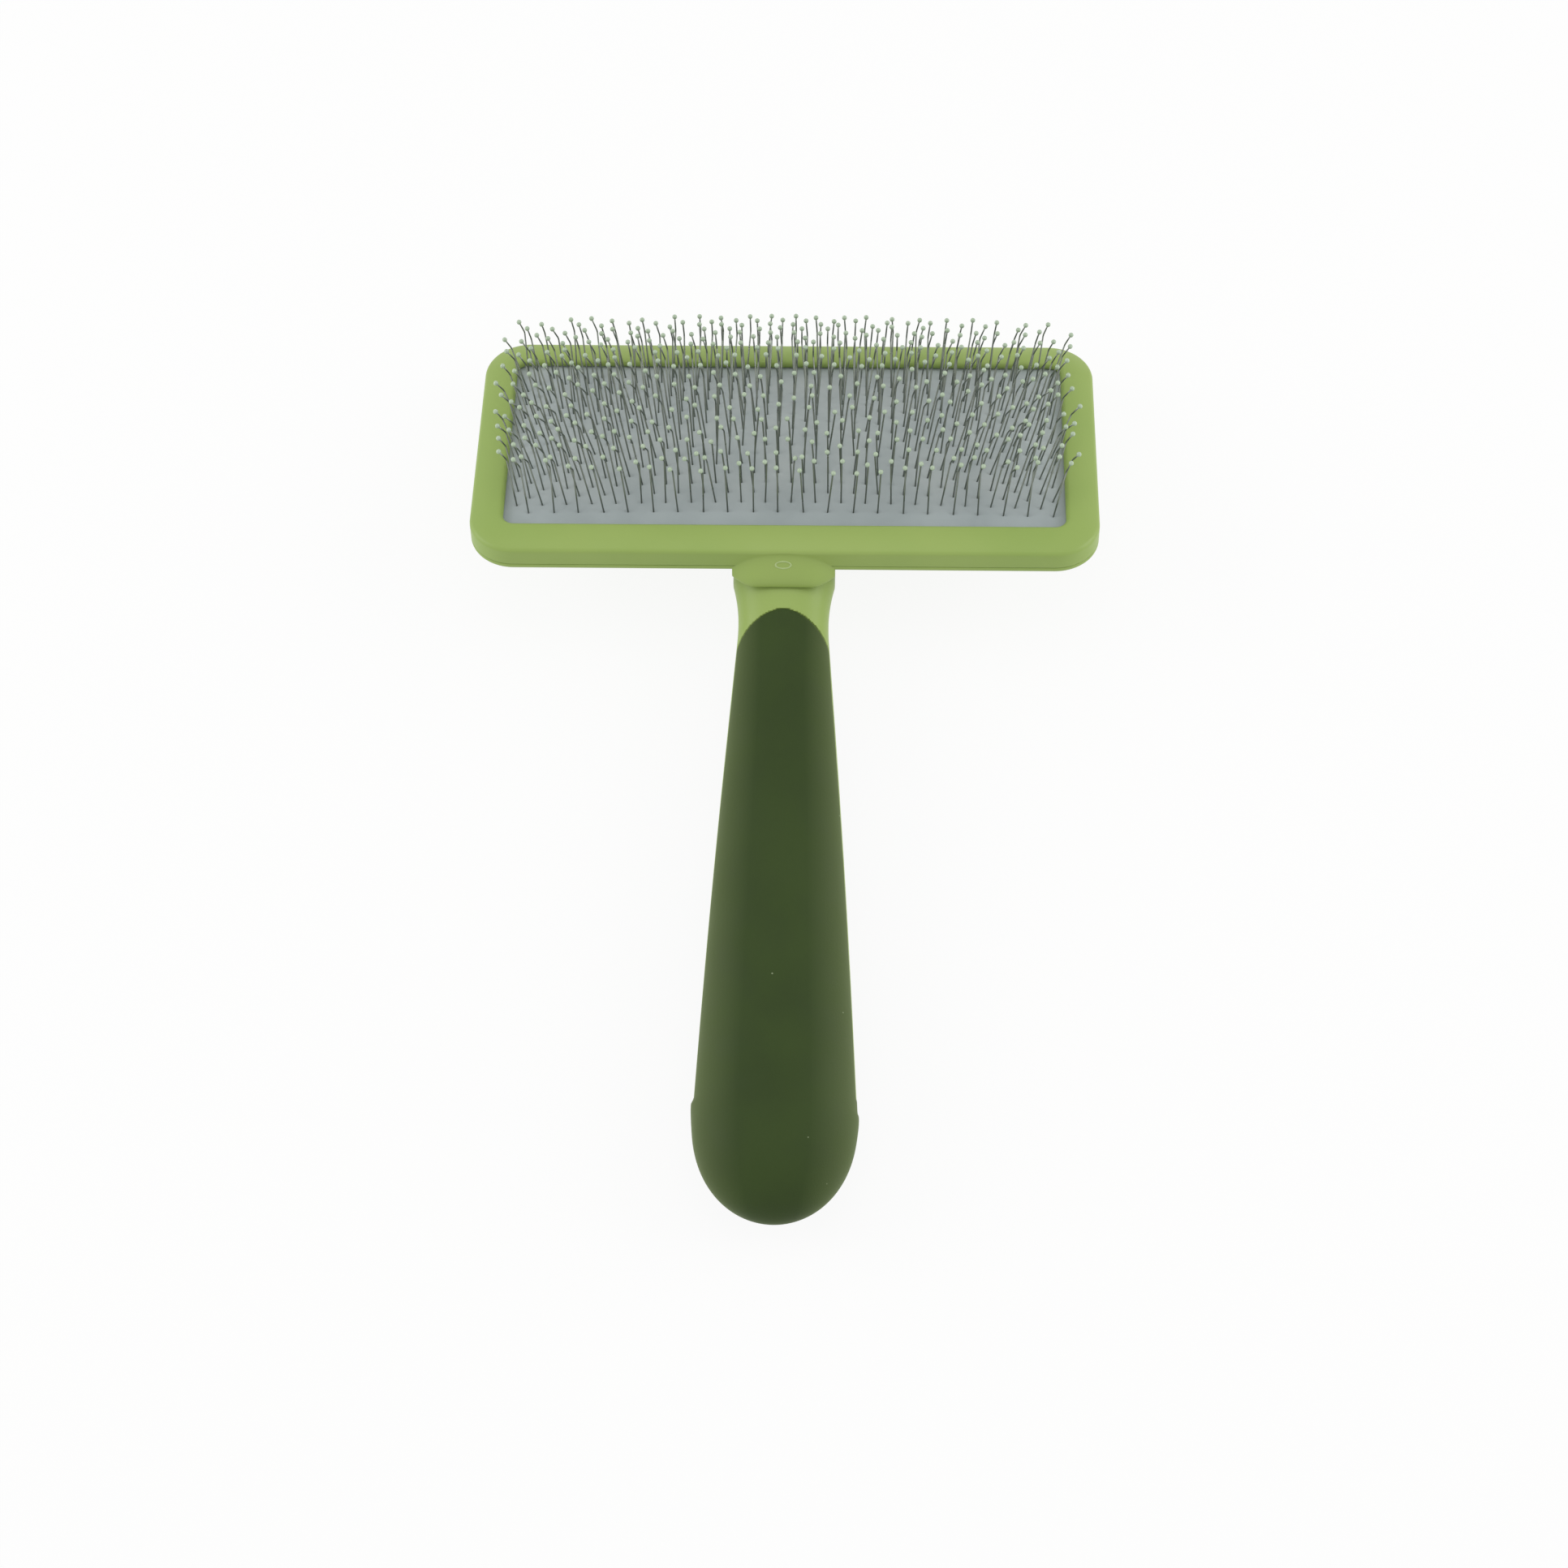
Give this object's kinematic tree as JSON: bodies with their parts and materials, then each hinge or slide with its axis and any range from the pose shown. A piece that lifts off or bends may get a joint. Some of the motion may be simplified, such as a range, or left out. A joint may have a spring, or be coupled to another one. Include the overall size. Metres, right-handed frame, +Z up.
{
  "type": "slicker brush",
  "caption": "Pet slicker brush: wide rounded head with a domed rubber pad of bent wire pins with beaded tips, on a tapered handle with a soft overmoulded grip.",
  "frame": {"origin": "on the surface the brush lies on, under the middle of its box", "axes": "+Z up out of the pins, +Y from the butt of the handle towards the head, +X along the head to the right when looking along +Y"},
  "size_m": [0.115, 0.172, 0.0345],
  "materials": {
    "light_plastic": "satin moulded polypropylene, light green",
    "dark_rubber": "matte thermoplastic rubber, dark green",
    "grey_rubber": "matte grey rubber sheet",
    "backing_fabric": "woven backing cloth",
    "foam": "open-cell foam",
    "wire": "drawn stainless wire",
    "bead": "glossy dipped beads, pale green-white"
  },
  "bodies": {
    "root": {"handle_body": "light_plastic", "soft_grip": "dark_rubber", "face_frame": "light_plastic", "pad_rubber": "grey_rubber", "pad_fabric": "backing_fabric", "pad_cushion": "foam", "staple_row_01": "wire", "staple_row_02": "wire", "staple_row_03": "wire", "staple_row_04": "wire", "staple_row_05": "wire", "staple_row_06": "wire", "staple_row_07": "wire", "staple_row_08": "wire", "staple_row_09": "wire", "staple_row_10": "wire", "staple_row_11": "wire", "staple_row_12": "wire", "staple_row_13": "wire", "staple_row_14": "wire", "staple_row_15": "wire", "staple_row_16": "wire", "staple_row_17": "wire", "staple_row_18": "wire", "staple_row_19": "wire", "staple_row_20": "wire", "tip_row_01": "bead", "tip_row_02": "bead", "tip_row_03": "bead", "tip_row_04": "bead", "tip_row_05": "bead", "tip_row_06": "bead", "tip_row_07": "bead", "tip_row_08": "bead", "tip_row_09": "bead", "tip_row_10": "bead", "tip_row_11": "bead", "tip_row_12": "bead", "tip_row_13": "bead", "tip_row_14": "bead", "tip_row_15": "bead", "tip_row_16": "bead", "tip_row_17": "bead", "tip_row_18": "bead", "tip_row_19": "bead", "tip_row_20": "bead"}
  },
  "joints": []
}
